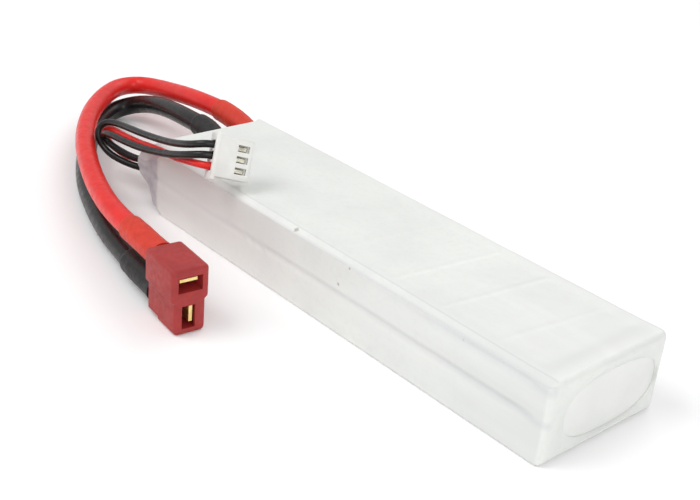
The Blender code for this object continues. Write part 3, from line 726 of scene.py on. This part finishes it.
def balance_connector(finish):
    """The flanged three-way housing with its windows and the guide ribs along its edges."""
    sections = [
        (0.0, FLANGE_HALF_WIDTH, BALANCE_THICKNESS / 2 + 0.1),
        (FLANGE_LENGTH, FLANGE_HALF_WIDTH, BALANCE_THICKNESS / 2 + 0.1),
        (FLANGE_LENGTH, BALANCE_HALF_WIDTH, BALANCE_THICKNESS / 2),
        (BALANCE_LENGTH, BALANCE_HALF_WIDTH, BALANCE_THICKNESS / 2),
    ]
    rings = []
    for x, half_width, half_height in sections:
        corners = [(half_width, half_height), (-half_width, half_height),
                   (-half_width, -half_height), (half_width, -half_height)]
        rings.append([in_frame(BALANCE_FRAME, (x, y, z - BALANCE_THICKNESS / 2)) for y, z in corners])
    housing = new_piece("balance_housing_fine", rings, finish, "pack",
                        stands_for=["balance_housing"])
    boxes = []
    for way in (-1, 0, 1):
        y = way * WAY_PITCH
        boxes.append(((-1.0, y - 0.95, -4.6), (BALANCE_LENGTH + 1, y + 0.95, -1.2)))
        boxes.append(((5.1, y - 0.75, -1.6), (7.7, y + 0.75, 1.0)))
    for side in (-1, 1):
        low, high = sorted((side * (BALANCE_HALF_WIDTH - 0.95), side * (BALANCE_HALF_WIDTH + 0.3)))
        boxes.append(((1.5, low, -4.4), (5.2, high, -0.8)))
    carve(housing, boxes, BALANCE_FRAME, 0.12)
    return housing


# ---------------------------------------------------------------- film

RIM_AT_NEAR_SIDE = [(0.0, -55.0), (2.3, -59.4), (5.0, -60.6), (8.0, -65.9), (9.5, REAR_X), (17.6, REAR_X)]


def rim_x(across, level):
    """How far back the film reaches at a point of the section: it is cut slanting at the near side."""
    plain = -59.9 if level > MID_Z else -57.0
    if across > 0:
        return plain if abs(across) < PACK_WIDTH / 2 - 2 else -60.4
    flap = REAR_X
    for (low, low_x), (high, high_x) in zip(RIM_AT_NEAR_SIDE, RIM_AT_NEAR_SIDE[1:]):
        if low <= level < high:
            flap = low_x + (high_x - low_x) * ease((level - low) / (high - low))
    near = ease((-across - 12.0) / 4.5)
    return plain + (flap - plain) * near


def ease(value):
    """A value clamped to 0..1 and eased at both ends."""
    value = min(1.0, max(0.0, value))
    return value * value * (3 - 2 * value)


def bell(value, width):
    """1 at 0, falling to nothing over about twice the width."""
    return math.exp(-(value / width) ** 2)


def film_point(x, across, level):
    """A point of the film's outer skin, with the slack at its open end added to the plain section."""
    slack = max(0.0, (CELL_REAR_X - x) / (CELL_REAR_X - SHOULDER_X))
    near = min(1.0, max(0.0, (-across - 12.0) / 5.0))
    top = min(1.0, max(0.0, (level - MID_Z) / MID_Z))
    dip = 3.8 * min(slack, 1.4) ** 1.3 * near ** 1.2 * top
    tuck = 0.5 * ease((CREASE_X - x) / 6.0) * near
    return Vector((x, across + tuck, level - dip))


def relief(x, across, level):
    """How far the film stands out from the plain section, in millimetres: seams, ridges, wrinkles."""
    on_side = abs(across) > PACK_WIDTH / 2 - 0.05
    up = level - MID_Z
    high = 0.0
    if on_side:
        depth = 0.20 + 0.38 * ease((x + 60.0) / 70.0)
        high -= depth * bell(up, 0.9)
        high -= 0.34 * ease((x - 10.0) / 50.0) * bell(level - 15.6, 0.8)
        high += 0.10 * bell(abs(up) - 3.8, 2.2)
        rear = ease((-15.0 - x) / 30.0)
        crinkle = noise.noise(Vector((x * 0.55 + level * 0.35, level * 0.9, 3.0)))
        high += 0.12 * rear * max(0.0, crinkle) ** 1.5
        for centre_x, centre_z, slope, length in CREASES:
            along = (x - centre_x) * math.cos(slope) + (level - centre_z) * math.sin(slope)
            off = (level - centre_z) * math.cos(slope) - (x - centre_x) * math.sin(slope)
            high += 0.30 * bell(along, length) * bell(off, 0.28)
        if across < 0:
            high -= 0.30 * bell(x - CREASE_X, 0.45)
    elif up > MID_Z - 0.05:
        inward = ease((PACK_WIDTH / 2 - 2.0 - abs(across)) / 3.0)
        high -= 0.10 * inward
        for ridge_x, height in RIDGES:
            high += height * bell(x - ridge_x - 0.125 * across, 0.35) * inward
    high += 0.05 * noise.noise(Vector((x * 0.09, across * 0.16, level * 0.2)))
    high += 0.018 * noise.noise(Vector((x * 0.5, across * 0.5, level * 0.5)))
    return high


CREASE_X = -57.2
CREASES = [
    (-43.0, 10.9, 0.5, 2.0), (-41.0, 11.6, 0.2, 1.8), (-21.4, 8.4, -0.7, 2.0), (-19.0, 9.2, -0.9, 1.6),
    (-15.1, 8.6, -0.4, 2.0), (-51.0, 12.0, 0.9, 2.2), (-54.0, 9.0, 1.2, 2.6), (-13.0, 7.0, -0.7, 1.6),
]
RIDGES = ((24.0, 0.10), (37.4, 0.10), (52.0, 0.05), (8.0, 0.05), (-12.0, 0.04))


def film_outline(inset, end_growth=0.0):
    """The sleeve's plain section, set in by an amount, its corners rounder towards an end."""
    radii = [max(0.3, radius + end_growth - 0.5 * inset) for radius in (1.2, 1.2, 0.5, 0.7)]
    half_width = PACK_WIDTH / 2 - inset
    half_height = PACK_HEIGHT / 2 - inset
    points = []
    for y, z in rounded_outline(half_width, half_height, radii, 8, 0.4):
        inward = min(BAND_WIDTH, y + half_width)
        points.append((y, min(z, half_height - BAND_DROP * (1 - inward / BAND_WIDTH))))
    return points


def front_rings(inset):
    """Rings from the oval opening at the front to the start of the straight section."""
    edge = 1.5
    face = film_outline(inset + edge * 0.8, 0.4)
    opening = []
    for across, up in face:
        angle = math.atan2(up / MID_Z, across / (PACK_WIDTH / 2))
        reach = (abs(math.cos(angle)) ** 2.6 + abs(math.sin(angle)) ** 2.6) ** (-1 / 2.6)
        opening.append((2.3 + 13.5 * reach * math.cos(angle), -0.9 + 6.4 * reach * math.sin(angle)))
    rings = []
    steps = 8
    for step in range(steps + 1):
        share = step / steps
        ring = []
        for (oy, oz), (fy, fz) in zip(opening, face):
            y = oy + (fy - oy) * share
            z = oz + (fz - oz) * share
            pleat = 0.10 * noise.noise(Vector((y * 0.35, z * 0.35, 7.0))) * math.sin(math.pi * share)
            sunk = 0.60 * (1 - share) ** 2
            ring.append(Vector((FRONT_X - 0.12 - inset - sunk + pleat, y, MID_Z + z)))
        rings.append(ring)
    turns = 6
    for step in range(1, turns + 1):
        angle = math.radians(90 * step / turns)
        x = FRONT_X - 0.12 - inset - edge * (1 - math.cos(angle))
        in_by = edge * 0.8 * (1 - math.sin(angle))
        ring = []
        for y, z in film_outline(inset + in_by, 0.4 * (1 - math.sin(angle))):
            ring.append(Vector((x, y, MID_Z + z)))
        rings.append(ring)
    return rings


def body_rings(inset, spacing):
    """Rings of the straight section and the slack collar, down to the rear rim."""
    plain = film_outline(inset)
    outer = film_outline(0.0)
    rings = []
    start = FRONT_X - 2.4
    steps = round((start - CELL_REAR_X) / spacing)
    for step in range(steps + 1):
        x = start + (CELL_REAR_X - start) * step / steps
        ring = []
        for (y, z), (outer_y, outer_z) in zip(plain, outer):
            ring.append(raised(Vector((x, y, MID_Z + z)), x, outer_y, MID_Z + outer_z))
        rings.append(ring)
    steps = max(6, round(14.0 / spacing))
    for step in range(1, steps + 1):
        ring = []
        for (y, z), (outer_y, outer_z) in zip(plain, outer):
            end = rim_x(outer_y, MID_Z + outer_z)
            x = CELL_REAR_X + (end - CELL_REAR_X) * step / steps
            point = film_point(x, y, MID_Z + z)
            ring.append(raised(point, x, outer_y, MID_Z + outer_z))
        rings.append(ring)
    return rings


def raised(point, x, across, level):
    """A skin point moved by the film's relief, never out past the plain section."""
    if level < 0.3:
        return point
    half_width = PACK_WIDTH / 2
    side = max(0.0, abs(across) - (half_width - 1.5)) / 1.5
    flat = max(0.0, abs(level - MID_Z) - (MID_Z - 1.5)) / 1.5
    total = math.hypot(side, flat) or 1.0
    out = Vector((0.0, math.copysign(side, across), math.copysign(flat, level - MID_Z))) / total
    high = min(relief(x, across, level), 0.12) - 0.12
    return point + out * high * ease((FRONT_X - 2.4 - x) / 4.0)


def film(finish):
    """The whole film sleeve, with an outer and an inner skin."""
    outer = front_rings(0.0) + body_rings(0.0, 0.6)
    inner = front_rings(FILM) + body_rings(FILM, 6.0)
    return new_piece("film_wrap_fine", outer + inner[::-1], finish, "pack", closed=True,
                     smooth_angle=70.0, stands_for=["film_wrap"])


# ---------------------------------------------------------------- stage

def stage_and_light():
    """A plain pale floor, an even pale surround and soft lamps."""
    bm = bmesh.new()
    bmesh.ops.create_grid(bm, x_segments=2, y_segments=2, size=3.0)
    made = Finish("pale_floor", 0.9, specular=0.1)
    colour = made.mix(made.noise(3.0, 2.0), (0.97, 0.97, 0.97), (0.965, 0.965, 0.97))
    floor = finish_piece("floor", bm, made.done(colour), None)
    floor.location.z = -0.00003

    world = bpy.data.worlds.new("surround")
    bpy.context.scene.world = world
    world.use_nodes = True
    surround = world.node_tree.nodes["Background"]
    surround.inputs["Color"].default_value = (1.0, 1.0, 1.0, 1.0)
    surround.inputs["Strength"].default_value = 0.62

    lamps = [
        ("key", (-0.35, -0.55, 0.85), 0.7, 4.2),
        ("fill", (0.75, -0.35, 0.55), 0.6, 2.7),
        ("back", (-0.25, 0.75, 0.80), 0.8, 2.2),
    ]
    for name, place, size, power in lamps:
        data = bpy.data.lights.new(name, "AREA")
        data.shape = "DISK"
        data.size = size
        data.energy = power
        lamp = bpy.data.objects.new(name, data)
        lamp.location = place
        aim = Vector((-0.02, -0.01, 0.0)) - Vector(place)
        lamp.rotation_euler = aim.to_track_quat("-Z", "Y").to_euler()
        bpy.context.scene.collection.objects.link(lamp)
    bpy.context.scene.view_settings.view_transform = "Standard"


# ---------------------------------------------------------------- the whole scene

def paint(node_names, finish):
    """Give CAD nodes a finish."""
    for name in node_names:
        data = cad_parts[name].data
        data.materials.clear()
        data.materials.append(finish)


def main():
    """Build every piece."""
    camera()

    red = silicone_finish("red_silicone", (0.76, 0.018, 0.013), (0.69, 0.014, 0.010), 0.36)
    black = silicone_finish("black_silicone", (0.009, 0.008, 0.008), (0.006, 0.006, 0.006), 0.34)
    red_sleeve = sleeve_finish("red_sleeve", (0.65, 0.036, 0.014), (0.57, 0.028, 0.011))
    black_sleeve = sleeve_finish("black_sleeve", (0.015, 0.014, 0.014), (0.010, 0.009, 0.009))
    # the plug's lighter patch colour is partly rubbing and partly a painted highlight
    plug_red = moulded_finish("plug_red_nylon", (0.38, 0.029, 0.027), (0.33, 0.022, 0.022), 0.50,
                              rub_and_highlight=(0.43, 0.065, 0.062))
    nylon = moulded_finish("white_nylon", (0.80, 0.80, 0.77), (0.75, 0.75, 0.72), 0.42)
    brass = metal_finish("gold_plated_brass", (0.98, 0.78, 0.36), (0.88, 0.64, 0.25), 0.38)
    tinned = metal_finish("tinned_bronze", (0.62, 0.59, 0.48), (0.46, 0.44, 0.37), 0.38)
    nickel = metal_finish("nickel_strip", (0.70, 0.67, 0.60), (0.58, 0.55, 0.50), 0.32)
    aluminium = metal_finish("aluminium_strip", (0.82, 0.83, 0.84), (0.70, 0.71, 0.72), 0.34)
    steel = metal_finish("spring_strip", (0.62, 0.62, 0.64), (0.45, 0.45, 0.47), 0.28)

    cord_piece("main_lead_red_fine", smooth_route(RED_ROUTE, 1.5, LEAD_PASSES),
                              LEAD_DIAMETER, red)
    cord_piece("main_lead_black_fine", smooth_route(BLACK_ROUTE, 1.5, LEAD_PASSES),
                                LEAD_DIAMETER, black)
    for name, route in BALANCE_ROUTES.items():
        positive = name.endswith("positive")
        cord_piece(f"{name}_fine", smooth_route(route, 0.8, WIRE_PASSES), WIRE_DIAMETER,
                                 red if positive else black)

    sleeves = make_sleeves(red_sleeve, black_sleeve)
    body = plug(plug_red)
    housing = balance_connector(nylon)
    film(film_finish())

    paint(["front_end_board"], board_finish("white_board", (0.80, 0.81, 0.785), (0.76, 0.77, 0.75)))
    paint(["cell_upper", "cell_lower"], pouch_finish())
    paint(["cell_bonding_tape", "insulation_strip_top", "insulation_strip_bottom"],
          board_finish("insulating_paper", (0.76, 0.70, 0.52), (0.66, 0.60, 0.44)))
    paint(["tab_positive_upper", "tab_positive_lower"], aluminium)
    paint(["tab_negative_upper", "tab_negative_lower", "series_link"], nickel)
    paint(["junction_board"], board_finish("solder_resist", (0.035, 0.20, 0.085), (0.025, 0.15, 0.065)))
    solder_nodes = [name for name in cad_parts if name.startswith("solder_")
                    and not name.startswith("solder_tab")]
    paint(solder_nodes, solder_finish())
    paint(["contact_positive", "contact_negative", "solder_tab_positive", "solder_tab_negative"], brass)
    paint(["balance_terminal_positive", "balance_terminal_middle", "balance_terminal_negative"], tinned)
    paint(["spring_positive", "spring_negative"], steel)

    for colour, side in (("red", "positive"), ("black", "negative")):
        route = RED_ROUTE if colour == "red" else BLACK_ROUTE

    stage_and_light()


main()
